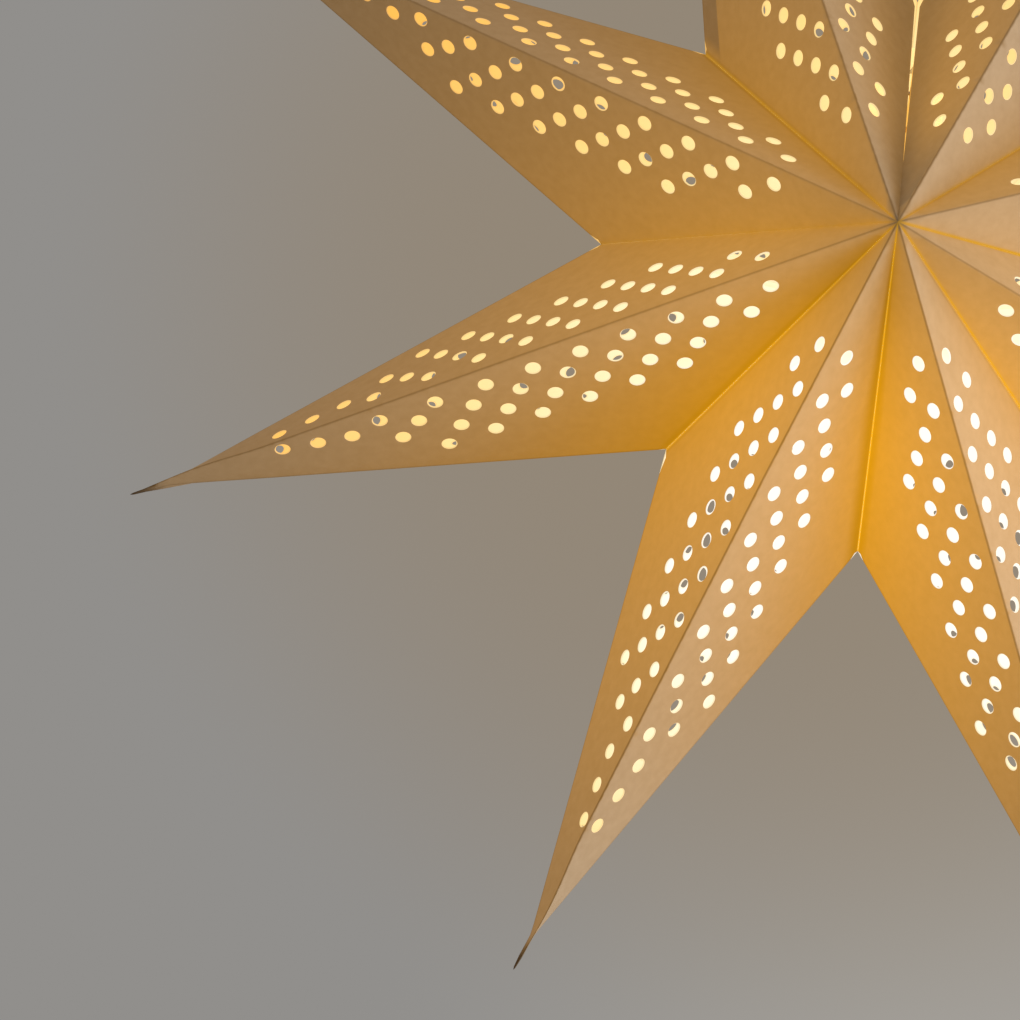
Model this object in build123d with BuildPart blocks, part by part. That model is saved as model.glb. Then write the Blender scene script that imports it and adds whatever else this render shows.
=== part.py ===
"""Star pendant light: a folded, perforated card star with eight points, hung on an E14 lampholder with a bulb.

Millimetres. The origin is the middle of the cord inlet, on top of the lampholder's cap. Z is up, and the star's
front looks towards -Y. The star's points lie round an axis along Y, through the star's centre below the origin.
"""

import os
from math import atan2, cos, degrees, radians, sin, tan

from build123d import *

# The card star
point_count = 8
tip_radius = 300.0
notch_radius = 110.0
apex_height = 90.0
star_drop = 85.0
card_thickness = 0.4
fold_gap = 0.1
seam_gap = 2.0
cord_opening = 14.0
edge_slit_length = 9.0
edge_slit_width = 0.8

# The punched pattern of one panel, from the apex along the ridge and out from the ridge
hole_diameter = 6.0
hole_row_start = 71.0
hole_row_pitch = 19.25
hole_row_count = 6
holes_per_row = 4
hole_ridge_distance = 8.6
hole_step_along = 8.7
hole_step_out = 7.7
holes_near_apex = ((53.0, 9.6), (64.5, 18.5))
holes_near_tip = (
    (188.0, 8.5), (197.7, 14.8), (207.0, 20.4), (210.7, 8.1), (223.6, 11.1), (236.6, 8.6), (250.0, 5.7),
)

# The flanges turned in along the valleys, measured along the valley from the apex
flange_width = 8.0
flange_start = 20.0
flange_end = 120.0
seam_flange_width = 14.0
seam_flange_end = 100.0
flange_clearance = 0.1

# The split pins and eyelets in the seam's flanges
fastener_places = (38.0, 64.0)
fastener_hole_diameter = 3.0
fastener_head_diameter = 7.0
fastener_head_height = 1.2
fastener_head_round = 0.72
fastener_leg_width = 2.2
fastener_leg_thickness = 0.4
fastener_leg_length = 9.0
fastener_clearance = 0.1
eyelet_place = 85.0
eyelet_bore = 3.0
eyelet_wall = 0.5
eyelet_rim = 1.2
eyelet_rim_thickness = 0.3
eyelet_clearance = 0.05

# The hanger wire
wire_diameter = 1.6
ring_clearance = 0.3
ring_seat_gap = 0.1
hook_half_width = 3.2
hook_return = 5.0
wire_bend_radius = 1.8
arm_knee_fraction = 0.75
arm_rise = 1.6

# The lampholder
cord_bore = 7.0
neck_diameter = 13.0
neck_height = 11.0
ledge_diameter = 21.0
holder_diameter = 28.0
shoulder_height = 7.0
shoulder_slope = 0.35
shoulder_turn = 40.0
cap_height = 28.0
cap_wall = 1.8
cap_roof = 2.0
holder_height = 55.0
skirt_wall = 3.0
skirt_edge_round = 1.0
skirt_lip_bore = 18.0
skirt_lip_height = 3.0
joint_gap = 0.2
spigot_height = 6.0
spigot_wall = 1.7
insert_top = 20.0
insert_clearance = 0.2
grip_screw_diameter = 3.0
grip_screw_drop = 5.0
grip_screw_recess = 0.3
grip_screw_clearance = 0.1
screw_slot_width = 0.6
screw_slot_depth = 0.6
shell_top = 32.0
shell_wall = 0.4
shell_height = 17.0
shell_rim_bore = 9.0
shell_notch_length = 6.5
shell_notch_clearance = 0.4
contact_thickness = 0.5
contact_width = 4.0
contact_gap = 0.3
contact_leg_offset = 5.0
terminal_length = 5.0
terminal_width = 6.0
terminal_height = 6.0
terminal_offset = 6.2
terminal_recess = 1.0
terminal_wire_bore = 2.4
terminal_wire_depth = 4.8
terminal_hole_offset = 1.5
terminal_screw_diameter = 2.5
terminal_screw_length = 3.0
terminal_screw_clearance = 0.05
terminal_screw_head_diameter = 3.2
terminal_screw_head_height = 1.4

# The bulb
thread_crest_diameter = 13.9
thread_root_diameter = 12.3
thread_pitch = 2.82
thread_turns = 6
thread_clearance = 0.15
bulb_cap_wall = 0.35
tip_contact_diameter = 4.8
tip_contact_height = 1.5
tip_contact_round = 0.75
insulator_height = 3.0
insulator_end_diameter = 8.0
collar_entry = 4.0
collar_top_diameter = 17.5
collar_height = 18.0
collar_neck_flare = 1.0
collar_neck_length = 9.0
collar_swell_length = 7.2
collar_wall = 1.5
collar_gap = 2.0
globe_diameter = 45.0
globe_wall = 1.0
globe_seat_diameter = 36.0
board_thickness = 1.2
board_inset = 2.5
chip_count = 8
chip_ring_diameter = 18.0
chip_length = 3.5
chip_width = 2.8
chip_height = 0.8
driver_width = 9.0
driver_height = 20.0
driver_thickness = 1.2
driver_part_size = 4.0
driver_part_height = 2.0
driver_part_pitch = 6.0

# Worked out from the sizes above
half_sector = 180 / point_count
star_centre = Vector(0, 0, -star_drop)
seam_half_angle = degrees(atan2(seam_gap / 2, notch_radius))


def star_place(radius, angle):
    """A place on the star's middle plane, at a radius round its centre and an angle clockwise from straight up."""
    return Vector(radius * sin(radians(angle)), 0, radius * cos(radians(angle)) - star_drop)


def around(angle):
    """The anticlockwise direction round the star's axis, square to the radius at an angle."""
    return Vector(-cos(radians(angle)), 0, sin(radians(angle)))


def tip_angle(number):
    """Points are numbered clockwise from the seam, which is straight up, where the cord leaves the star."""
    return half_sector * (2 * number - 1)


def is_seam(number, side):
    """The seam lies before the first point and after the last. Side 1 of a point is its anticlockwise side."""
    return (number, side) in ((1, 1), (point_count, -1))


def valley_angle(number, side):
    """The angle of the plane that bounds a point at one side. At the seam it stands back by half the gap."""
    angle = tip_angle(number) - side * half_sector
    return angle + side * seam_half_angle if is_seam(number, side) else angle


def valley_plane(number, side, face):
    """A flange's plane: x along the valley from the apex, z into the point."""
    angle = valley_angle(number, side)
    apex = Vector(0, face * apex_height, -star_drop)
    into_point = around(angle) * -side
    along = star_place(notch_radius, angle) - apex
    return Plane(origin=apex + into_point * (fold_gap / 2), x_dir=along, z_dir=into_point)


def inward_sign(plane):
    """Which way along a valley plane's y the star's centre lies."""
    return 1 if plane.to_local_coords(star_centre).Y > 0 else -1


def panel_holes():
    """Hole centres of one panel: slanting rows, with a few holes more towards the apex and the tip."""
    rows = [
        (
            hole_row_start + row * hole_row_pitch + hole * hole_step_along,
            hole_ridge_distance + hole * hole_step_out,
        )
        for row in range(hole_row_count)
        for hole in range(holes_per_row)
    ]
    return [*holes_near_apex, *rows, *holes_near_tip]


def card_panel(number, side, face):
    """One of a point's four panels: a perforated triangle between apex, tip and notch, mitred at its three folds."""
    angle = tip_angle(number)
    apex = Vector(0, face * apex_height, -star_drop)
    ridge = star_place(tip_radius, angle) - apex
    outward = ridge.cross(star_place(notch_radius, angle - side * half_sector) - apex) * -(side * face)
    plane = Plane(origin=apex, x_dir=ridge, z_dir=outward)
    notch = plane.to_local_coords(star_place(notch_radius, angle - side * half_sector))
    across = 1 if notch.Y > 0 else -1
    edge = (Vector(ridge.length, 0) - notch).normalized()
    beyond = Vector(-edge.Y, edge.X) * across
    margin = 3 * card_thickness
    with BuildPart() as panel:
        with BuildSketch(plane):
            with BuildLine():
                Polyline((0, 0), (ridge.length, 0), (notch.X, notch.Y), close=True)
            make_face()
            offset(amount=margin, kind=Kind.INTERSECTION)
            with Locations(*[(along, across * out) for along, out in panel_holes()]):
                Circle(hole_diameter / 2, mode=Mode.SUBTRACT)
            with BuildLine():
                Polyline(
                    notch + beyond * 2 * margin,
                    notch + edge * edge_slit_length,
                    notch - beyond * edge_slit_width,
                    close=True,
                )
            make_face(mode=Mode.SUBTRACT)
        extrude(amount=-card_thickness)
        rim_fold = Vector(0, face, 0)
        ridge_fold = around(angle) * side
        valley_fold = around(valley_angle(number, side)) * -side
        for inward in (rim_fold, ridge_fold, valley_fold):
            split(bisect_by=Plane(origin=star_centre + inward * (fold_gap / 2), z_dir=inward), keep=Keep.TOP)
        if is_seam(number, side):
            valley = (Vector(0, 0) - notch).normalized()
            corner = plane.from_local_coords(notch + edge * cord_opening)
            inner = plane.from_local_coords(notch + (edge * 2 + valley) * cord_opening)
            split(bisect_by=Plane(origin=corner, z_dir=inner - corner), keep=Keep.TOP)
    return panel.part


def glue_flange(number, side, face):
    """A strip turned in along one valley, glued or pinned to the next point's strip."""
    plane = valley_plane(number, side, face)
    inward = inward_sign(plane)
    seam = is_seam(number, side)
    width = seam_flange_width if seam else flange_width
    end = seam_flange_end if seam else flange_end
    first = flange_root(number, side, face)
    with BuildPart() as flange:
        with BuildSketch(plane):
            with BuildLine():
                Polyline(
                    (flange_start, inward * first),
                    (end, inward * first),
                    (end - width, inward * (first + width)),
                    (flange_start + width, inward * (first + width)),
                    close=True,
                )
            make_face()
            if seam:
                middle = inward * (first + width / 2)
                with Locations(*[(place, middle) for place in fastener_places]):
                    Circle(fastener_hole_diameter / 2, mode=Mode.SUBTRACT)
                with Locations((eyelet_place, middle)):
                    Circle(eyelet_bore / 2 + eyelet_wall + eyelet_clearance, mode=Mode.SUBTRACT)
        extrude(amount=card_thickness)
    return flange.part


def flange_root(number, side, face):
    """How far in from the valley a flange starts, under the panel's thickness."""
    angle = tip_angle(number)
    apex = Vector(0, face * apex_height, -star_drop)
    ridge = star_place(tip_radius, angle) - apex
    valley = star_place(notch_radius, valley_angle(number, side)) - apex
    panel_normal = ridge.cross(valley).normalized()
    slope = panel_normal.cross(around(valley_angle(number, side))).length
    return card_thickness / slope + flange_clearance


def seam_place(place, face):
    """A place on the middle line of the seam's flanges, midway between them."""
    plane = valley_plane(1, 1, face)
    middle = flange_root(1, 1, face) + seam_flange_width / 2
    spot = plane.from_local_coords(Vector(place, inward_sign(plane) * middle))
    return Vector(0, spot.Y, spot.Z)


os.makedirs("parts", exist_ok=True)

# The eight points
for number in range(1, point_count + 1):
    with BuildPart() as point:
        for side in (-1, 1):
            for face in (-1, 1):
                add(card_panel(number, side, face))
                add(glue_flange(number, side, face))
    point.part.label = f"point_{number}"
    export_step(point.part, f"parts/point_{number}.step")

# Split pins through both of the seam's flanges, heads on the right and legs bent flat on the left
with BuildPart() as paper_fasteners:
    for face in (-1, 1):
        along = Vector(0, -face * apex_height, notch_radius)
        for place in fastener_places:
            spot = seam_place(place, face)
            height = spot.Z + star_drop
            flange_back = (height + fastener_leg_length) * tan(radians(seam_half_angle))
            seat = flange_back + fold_gap / 2 + card_thickness + fastener_clearance
            head_plane = Plane(origin=spot + Vector(seat, 0, 0), x_dir=along, z_dir=(1, 0, 0))
            with BuildSketch(head_plane):
                Circle(fastener_head_diameter / 2)
            head = extrude(amount=fastener_head_height)
            fillet(head.faces().sort_by(Axis.X)[-1].edges(), fastener_head_round)
            with BuildSketch(head_plane):
                Rectangle(2 * fastener_leg_thickness, fastener_leg_width)
            extrude(amount=-2 * seat)
            with BuildSketch(head_plane.offset(-2 * seat)):
                SlotOverall(2 * fastener_leg_length, fastener_leg_width)
            extrude(amount=-fastener_leg_thickness)
paper_fasteners.part.label = "paper_fasteners"
export_step(paper_fasteners.part, "parts/paper_fasteners.step")

# Eyelets set in the seam's flanges
with BuildPart() as flange_eyelets:
    for number, side in ((1, 1), (point_count, -1)):
        for face in (-1, 1):
            plane = valley_plane(number, side, face)
            middle = inward_sign(plane) * (flange_root(number, side, face) + seam_flange_width / 2)
            barrel_radius = eyelet_bore / 2 + eyelet_wall
            rim_radius = barrel_radius + eyelet_rim
            barrel_end = card_thickness + 2 * eyelet_clearance
            layers = (
                (-eyelet_rim_thickness - eyelet_clearance, rim_radius, eyelet_rim_thickness),
                (-eyelet_clearance, barrel_radius, barrel_end),
                (barrel_end - eyelet_clearance, rim_radius, eyelet_rim_thickness),
            )
            for level, radius, thickness in layers:
                with BuildSketch(plane.offset(level)):
                    with Locations((eyelet_place, middle)):
                        Circle(radius)
                        Circle(eyelet_bore / 2, mode=Mode.SUBTRACT)
                extrude(amount=thickness)
flange_eyelets.part.label = "flange_eyelets"
export_step(flange_eyelets.part, "parts/flange_eyelets.step")

# Hanger: a ring on the lampholder's ledge, and an arm to each side that hooks up through a pair of eyelets
ring_radius = neck_diameter / 2 + ring_clearance + wire_diameter / 2
ring_level = -neck_height + ring_seat_gap + wire_diameter / 2
with BuildPart() as hanger_wire:
    with BuildSketch(Plane.XZ):
        with Locations((ring_radius, ring_level)):
            Circle(wire_diameter / 2)
    revolve(axis=Axis.Z)
    for face in (-1, 1):
        eye = seam_place(eyelet_place, face)
        hook_level = eye.Z + (eyelet_bore - wire_diameter) / 2 - eyelet_clearance
        turn = -face
        knee_depth = face * ring_radius + (eye.Y - face * ring_radius) * arm_knee_fraction
        with BuildLine() as arm:
            FilletPolyline(
                (0, face * ring_radius, ring_level),
                (turn * hook_half_width, knee_depth, ring_level + arm_rise),
                (turn * hook_half_width, eye.Y, hook_level),
                (-turn * hook_half_width, eye.Y, hook_level),
                (-turn * hook_half_width, eye.Y, hook_level + hook_return),
                radius=wire_bend_radius,
            )
        with BuildSketch(Plane(origin=arm.line @ 0, z_dir=arm.line % 0)):
            Circle(wire_diameter / 2)
        sweep(path=arm.line)
hanger_wire.part.label = "hanger_wire"
export_step(hanger_wire.part, "parts/hanger_wire.step")

# Lampholder cap: a neck with the cord inlet, a ledge for the hanger's ring and a rounded shoulder
holder_radius = holder_diameter / 2
cavity_radius = holder_radius - cap_wall
cavity_top = -neck_height - cap_roof
with BuildPart() as lampholder_cap:
    with BuildSketch(Plane.XZ):
        with BuildLine():
            Polyline(
                (cord_bore / 2, 0),
                (neck_diameter / 2, 0),
                (neck_diameter / 2, -neck_height),
                (ledge_diameter / 2, -neck_height),
            )
            shoulder = JernArc(
                (ledge_diameter / 2, -neck_height),
                (1, -shoulder_slope),
                holder_radius - ledge_diameter / 2,
                -shoulder_turn,
            )
            Polyline(
                shoulder @ 1,
                (holder_radius, -neck_height - shoulder_height),
                (holder_radius, -cap_height),
                (cavity_radius, -cap_height),
                (cavity_radius, -neck_height - shoulder_height),
                (ledge_diameter / 2 - cap_wall, cavity_top),
                (cord_bore / 2, cavity_top),
                (cord_bore / 2, 0),
            )
        make_face()
    revolve(axis=Axis.Z)
    with BuildSketch(Plane(origin=(0, 0, -grip_screw_drop), z_dir=(1, 0, 0))):
        Circle(grip_screw_diameter / 2 + grip_screw_clearance)
    extrude(amount=neck_diameter, mode=Mode.SUBTRACT)
lampholder_cap.part.label = "lampholder_cap"
export_step(lampholder_cap.part, "parts/lampholder_cap.step")

# Grub screw that grips the cord, from the neck's bore to just under its outside
with BuildPart() as cord_grip_screw:
    grip_start = cord_bore / 2 + grip_screw_recess
    grip_end = neck_diameter / 2 - grip_screw_recess
    with BuildSketch(Plane(origin=(grip_start, 0, -grip_screw_drop), z_dir=(1, 0, 0))):
        Circle(grip_screw_diameter / 2)
    extrude(amount=grip_end - grip_start)
    with BuildSketch(Plane(origin=(grip_end, 0, -grip_screw_drop), z_dir=(1, 0, 0))):
        Rectangle(screw_slot_width, grip_screw_diameter)
    extrude(amount=-screw_slot_depth, mode=Mode.SUBTRACT)
cord_grip_screw.part.label = "cord_grip_screw"
export_step(cord_grip_screw.part, "parts/cord_grip_screw.step")

# Lampholder skirt: a smooth sleeve with a spigot up into the cap and a lip under the insert
skirt_top = -cap_height - joint_gap
skirt_bottom = -holder_height
insert_bottom = skirt_bottom + skirt_lip_height + insert_clearance
skirt_bore_radius = holder_radius - skirt_wall
spigot_radius = cavity_radius - insert_clearance
with BuildPart() as lampholder_skirt:
    with BuildSketch(Plane.XZ):
        with BuildLine():
            Polyline(
                (spigot_radius, skirt_top),
                (holder_radius, skirt_top),
                (holder_radius, skirt_bottom),
                (skirt_lip_bore / 2, skirt_bottom),
                (skirt_lip_bore / 2, skirt_bottom + skirt_lip_height),
                (skirt_bore_radius, skirt_bottom + skirt_lip_height),
                (skirt_bore_radius, skirt_top),
                (spigot_radius - spigot_wall, skirt_top),
                (spigot_radius - spigot_wall, skirt_top + spigot_height),
                (spigot_radius, skirt_top + spigot_height),
                close=True,
            )
        make_face()
    revolve(axis=Axis.Z)
    fillet(lampholder_skirt.edges().group_by(Axis.Z)[0].sort_by(SortBy.RADIUS)[-1], skirt_edge_round)
lampholder_skirt.part.label = "lampholder_skirt"
export_step(lampholder_skirt.part, "parts/lampholder_skirt.step")

# Contact block: a turned body with a well for the thread shell, pockets for the terminals and slots for the contacts
insert_radius = spigot_radius - spigot_wall - insert_clearance
shell_bore_radius = thread_crest_diameter / 2 + thread_clearance
shell_radius = shell_bore_radius + shell_wall
terminal_top = -insert_top - terminal_recess
terminal_bottom = terminal_top - terminal_height
with BuildPart() as holder_insert:
    with BuildSketch(Plane.XY.offset(-insert_top)):
        Circle(insert_radius)
    extrude(amount=insert_bottom + insert_top)
    with BuildSketch(Plane.XY.offset(insert_bottom)):
        Circle(shell_radius + insert_clearance)
    extrude(amount=-shell_top + insert_clearance - insert_bottom, mode=Mode.SUBTRACT)
    for side in (-1, 1):
        with BuildSketch(Plane.XY.offset(-insert_top)):
            with Locations((side * terminal_offset, 0)):
                Rectangle(terminal_length + 2 * insert_clearance, terminal_width + 2 * insert_clearance)
        extrude(amount=terminal_bottom + insert_top, mode=Mode.SUBTRACT)
        with BuildSketch(Plane.XY.offset(terminal_bottom)):
            with Locations((side * contact_leg_offset, 0)):
                Rectangle(contact_thickness + 2 * insert_clearance, contact_width + 2 * insert_clearance)
        extrude(amount=-shell_top - terminal_bottom, mode=Mode.SUBTRACT)
holder_insert.part.label = "holder_insert"
export_step(holder_insert.part, "parts/holder_insert.step")

# Thread shell: a rolled sleeve with a rim turned in at its top
with BuildPart() as thread_shell:
    with BuildSketch(Plane.XZ):
        with BuildLine():
            Polyline(
                (shell_rim_bore / 2, -shell_top),
                (shell_radius, -shell_top),
                (shell_radius, -shell_top - shell_height),
                (shell_bore_radius, -shell_top - shell_height),
                (shell_bore_radius, -shell_top - shell_wall),
                (shell_rim_bore / 2, -shell_top - shell_wall),
                close=True,
            )
        make_face()
    revolve(axis=Axis.Z)
    with BuildSketch(Plane.XY.offset(-shell_top)):
        with Locations((contact_leg_offset, 0)):
            Rectangle(shell_notch_length, contact_width + 2 * shell_notch_clearance)
    extrude(amount=-shell_wall, mode=Mode.SUBTRACT)
thread_shell.part.label = "thread_shell"
export_step(thread_shell.part, "parts/thread_shell.step")

# Centre contact: a leg down from the right terminal and a tongue under it to the bulb's tip
tongue_level = -shell_top - shell_wall - contact_thickness
with BuildPart() as centre_contact:
    with BuildSketch(Plane.XZ.offset(-contact_width / 2)):
        with BuildLine():
            Polyline(
                (contact_leg_offset + contact_thickness / 2, terminal_bottom),
                (contact_leg_offset + contact_thickness / 2, tongue_level),
                (-tip_contact_diameter / 2, tongue_level),
                (-tip_contact_diameter / 2, tongue_level + contact_thickness),
                (contact_leg_offset - contact_thickness / 2, tongue_level + contact_thickness),
                (contact_leg_offset - contact_thickness / 2, terminal_bottom),
                close=True,
            )
        make_face()
    extrude(amount=contact_width)
centre_contact.part.label = "centre_contact"
export_step(centre_contact.part, "parts/centre_contact.step")

# Side contact: a straight leg from the left terminal to the thread shell's rim
with BuildPart() as side_contact:
    with BuildSketch(Plane.XY.offset(terminal_bottom)):
        with Locations((-contact_leg_offset, 0)):
            Rectangle(contact_thickness, contact_width)
    extrude(amount=-shell_top - terminal_bottom)
side_contact.part.label = "side_contact"
export_step(side_contact.part, "parts/side_contact.step")

# Terminal blocks, each with a bore for its wire and one beside it for its screw, both from above
with BuildPart() as terminal_blocks:
    for side in (-1, 1):
        with BuildSketch(Plane.XY.offset(terminal_bottom)):
            with Locations((side * terminal_offset, 0)):
                Rectangle(terminal_length, terminal_width)
        extrude(amount=terminal_height)
    with Locations(*[(side * terminal_offset, -terminal_hole_offset, terminal_top) for side in (-1, 1)]):
        Hole(terminal_wire_bore / 2, depth=terminal_wire_depth)
    with Locations(*[(side * terminal_offset, terminal_hole_offset, terminal_top) for side in (-1, 1)]):
        Hole(terminal_screw_diameter / 2 + terminal_screw_clearance, depth=terminal_screw_length)
terminal_blocks.part.label = "terminal_blocks"
export_step(terminal_blocks.part, "parts/terminal_blocks.step")

# Terminal screws, slotted, down into the blocks
with BuildPart() as terminal_screws:
    for side in (-1, 1):
        with BuildSketch(Plane.XY.offset(terminal_top)):
            with Locations((side * terminal_offset, terminal_hole_offset)):
                Circle(terminal_screw_diameter / 2)
        extrude(amount=-terminal_screw_length + terminal_screw_clearance)
        with BuildSketch(Plane.XY.offset(terminal_top)):
            with Locations((side * terminal_offset, terminal_hole_offset)):
                Circle(terminal_screw_head_diameter / 2)
        extrude(amount=terminal_screw_head_height)
        with BuildSketch(Plane.XY.offset(terminal_top + terminal_screw_head_height)):
            with Locations((side * terminal_offset, terminal_hole_offset)):
                Rectangle(terminal_screw_head_diameter, screw_slot_width)
        extrude(amount=-screw_slot_depth, mode=Mode.SUBTRACT)
terminal_screws.part.label = "terminal_screws"
export_step(terminal_screws.part, "parts/terminal_screws.step")

# Bulb tip contact: a rounded brass button
tip_level = tongue_level - contact_gap
tip_base = tip_level - tip_contact_height
with BuildPart() as bulb_tip_contact:
    with BuildSketch(Plane.XY.offset(tip_base)):
        Circle(tip_contact_diameter / 2)
    extrude(amount=tip_contact_height)
    fillet(bulb_tip_contact.faces().sort_by(Axis.Z)[-1].edges(), tip_contact_round)
bulb_tip_contact.part.label = "bulb_tip_contact"
export_step(bulb_tip_contact.part, "parts/bulb_tip_contact.step")

# Bulb insulator: a glass cone between the tip and the screw cap
thread_top = tip_base - insulator_height
with BuildPart() as bulb_insulator:
    with BuildSketch(Plane.XZ):
        with BuildLine():
            Polyline(
                (0, tip_base),
                (tip_contact_diameter / 2, tip_base),
                (insulator_end_diameter / 2, thread_top),
                (0, thread_top),
                close=True,
            )
        make_face()
    revolve(axis=Axis.Z)
bulb_insulator.part.label = "bulb_insulator"
export_step(bulb_insulator.part, "parts/bulb_insulator.step")

# Bulb screw cap: a rolled shell whose thread is drawn as rounded rings
crest_radius = thread_crest_diameter / 2
root_radius = thread_root_diameter / 2
middle_radius = (crest_radius + root_radius) / 2
thread_bottom = thread_top - thread_turns * thread_pitch
collar_top = -holder_height - collar_gap
with BuildPart() as bulb_screw_cap:
    with BuildSketch(Plane.XZ):
        with BuildLine():
            Line((insulator_end_diameter / 2 - bulb_cap_wall, thread_top), (middle_radius, thread_top))
            for turn in range(thread_turns):
                level = thread_top - turn * thread_pitch
                ThreePointArc(
                    (middle_radius, level),
                    (crest_radius, level - thread_pitch / 4),
                    (middle_radius, level - thread_pitch / 2),
                )
                ThreePointArc(
                    (middle_radius, level - thread_pitch / 2),
                    (root_radius, level - thread_pitch * 3 / 4),
                    (middle_radius, level - thread_pitch),
                )
            Polyline(
                (middle_radius, thread_bottom),
                (middle_radius, collar_top),
                (root_radius - bulb_cap_wall, collar_top),
                (root_radius - bulb_cap_wall, thread_top - bulb_cap_wall),
                (insulator_end_diameter / 2 - bulb_cap_wall, thread_top - bulb_cap_wall),
                (insulator_end_diameter / 2 - bulb_cap_wall, thread_top),
            )
        make_face()
    revolve(axis=Axis.Z)
bulb_screw_cap.part.label = "bulb_screw_cap"
export_step(bulb_screw_cap.part, "parts/bulb_screw_cap.step")

# Bulb collar: a hollow cone from the screw cap to the globe, with a ledge for the board
globe_radius = globe_diameter / 2
seat_radius = globe_seat_diameter / 2
collar_bottom = collar_top - collar_height
board_radius = seat_radius - collar_wall - board_inset
board_top = collar_bottom + board_thickness
with BuildPart() as bulb_collar:
    with BuildSketch(Plane.XZ):
        with BuildLine():
            Polyline(
                (root_radius - bulb_cap_wall - insert_clearance, collar_top + collar_entry),
                (root_radius - bulb_cap_wall - insert_clearance, collar_top),
                (collar_top_diameter / 2, collar_top),
            )
            Bezier(
                (collar_top_diameter / 2, collar_top),
                (collar_top_diameter / 2 + collar_neck_flare, collar_top - collar_neck_length),
                (seat_radius, collar_bottom + collar_swell_length),
                (seat_radius, collar_bottom),
            )
            Polyline(
                (seat_radius, collar_bottom),
                (board_radius + insert_clearance, collar_bottom),
                (board_radius + insert_clearance, board_top + insert_clearance / 2),
                (board_radius - collar_wall, board_top + insert_clearance / 2),
                (collar_top_diameter / 2 - collar_wall, collar_top - collar_wall * 2),
                (root_radius - bulb_cap_wall - insert_clearance - collar_wall / 2, collar_top),
                (root_radius - bulb_cap_wall - insert_clearance - collar_wall / 2, collar_top + collar_entry),
                (root_radius - bulb_cap_wall - insert_clearance, collar_top + collar_entry),
            )
        make_face()
    revolve(axis=Axis.Z)
bulb_collar.part.label = "bulb_collar"
export_step(bulb_collar.part, "parts/bulb_collar.step")

# Bulb globe: an opal ball, open where it sits on the collar
globe_rise = (globe_radius**2 - seat_radius**2) ** 0.5
globe_centre = collar_bottom - globe_rise
inner_radius = globe_radius - globe_wall
inner_seat = (inner_radius**2 - globe_rise**2) ** 0.5
with BuildPart() as bulb_globe:
    with BuildSketch(Plane.XZ):
        with BuildLine():
            ThreePointArc(
                (seat_radius, collar_bottom),
                (globe_radius, globe_centre),
                (0, globe_centre - globe_radius),
            )
            Line((0, globe_centre - globe_radius), (0, globe_centre - inner_radius))
            ThreePointArc(
                (0, globe_centre - inner_radius),
                (inner_radius, globe_centre),
                (inner_seat, collar_bottom),
            )
            Line((inner_seat, collar_bottom), (seat_radius, collar_bottom))
        make_face()
    revolve(axis=Axis.Z)
bulb_globe.part.label = "bulb_globe"
export_step(bulb_globe.part, "parts/bulb_globe.step")

# LED board, a disc in the collar's mouth
with BuildPart() as led_board:
    with BuildSketch(Plane.XY.offset(collar_bottom)):
        Circle(board_radius)
    extrude(amount=board_thickness)
led_board.part.label = "led_board"
export_step(led_board.part, "parts/led_board.step")

# LED chips in a ring under the board
with BuildPart() as led_chips:
    with BuildSketch(Plane.XY.offset(collar_bottom)):
        with PolarLocations(chip_ring_diameter / 2, chip_count):
            Rectangle(chip_width, chip_length)
    extrude(amount=-chip_height)
led_chips.part.label = "led_chips"
export_step(led_chips.part, "parts/led_chips.step")

# Driver board: upright on the LED board, with two parts on each face
driver_bottom = board_top
with BuildPart() as driver_board:
    with BuildSketch(Plane.XY.offset(driver_bottom)):
        Rectangle(driver_width, driver_thickness)
    extrude(amount=driver_height)
    for face in (-1, 1):
        board_face = Plane(
            origin=(0, face * driver_thickness / 2, driver_bottom + driver_height / 2),
            x_dir=(1, 0, 0),
            z_dir=(0, face, 0),
        )
        with BuildSketch(board_face):
            with GridLocations(0, driver_part_pitch, 1, 2):
                Rectangle(driver_part_size, driver_part_size)
        extrude(amount=driver_part_height)
driver_board.part.label = "driver_board"
export_step(driver_board.part, "parts/driver_board.step")
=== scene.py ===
# %% [markdown]
# # A lit card star on its lampholder
#
# The real object is eight folded points of thin card, punched with rows of round holes, glued at their
# valleys and lit by a small bulb inside. The working parts come ready made from the frame. This lesson
# folds the card, gives every surface its finish, and lets the card glow as it does when the bulb is on.

# %% Load the frame
from functools import cache
from math import radians

import bpy
import numpy as np
from mathutils import Matrix, Vector
from mathutils.geometry import delaunay_2d_cdt


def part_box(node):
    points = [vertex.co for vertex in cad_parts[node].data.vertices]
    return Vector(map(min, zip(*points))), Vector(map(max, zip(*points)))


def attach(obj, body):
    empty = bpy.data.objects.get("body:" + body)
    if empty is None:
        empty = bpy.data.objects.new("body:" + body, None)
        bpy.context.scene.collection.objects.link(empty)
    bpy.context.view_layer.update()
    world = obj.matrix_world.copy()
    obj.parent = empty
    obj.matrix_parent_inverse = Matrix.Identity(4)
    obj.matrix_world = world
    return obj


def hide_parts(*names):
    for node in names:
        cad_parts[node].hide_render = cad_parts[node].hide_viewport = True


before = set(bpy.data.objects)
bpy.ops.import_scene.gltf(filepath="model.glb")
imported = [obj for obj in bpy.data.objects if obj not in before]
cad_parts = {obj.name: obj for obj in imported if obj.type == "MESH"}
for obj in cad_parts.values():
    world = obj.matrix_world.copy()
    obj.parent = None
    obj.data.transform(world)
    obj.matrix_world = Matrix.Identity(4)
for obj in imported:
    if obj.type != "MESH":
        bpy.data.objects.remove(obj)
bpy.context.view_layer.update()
print("nodes in the frame:", len(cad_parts))

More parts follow.
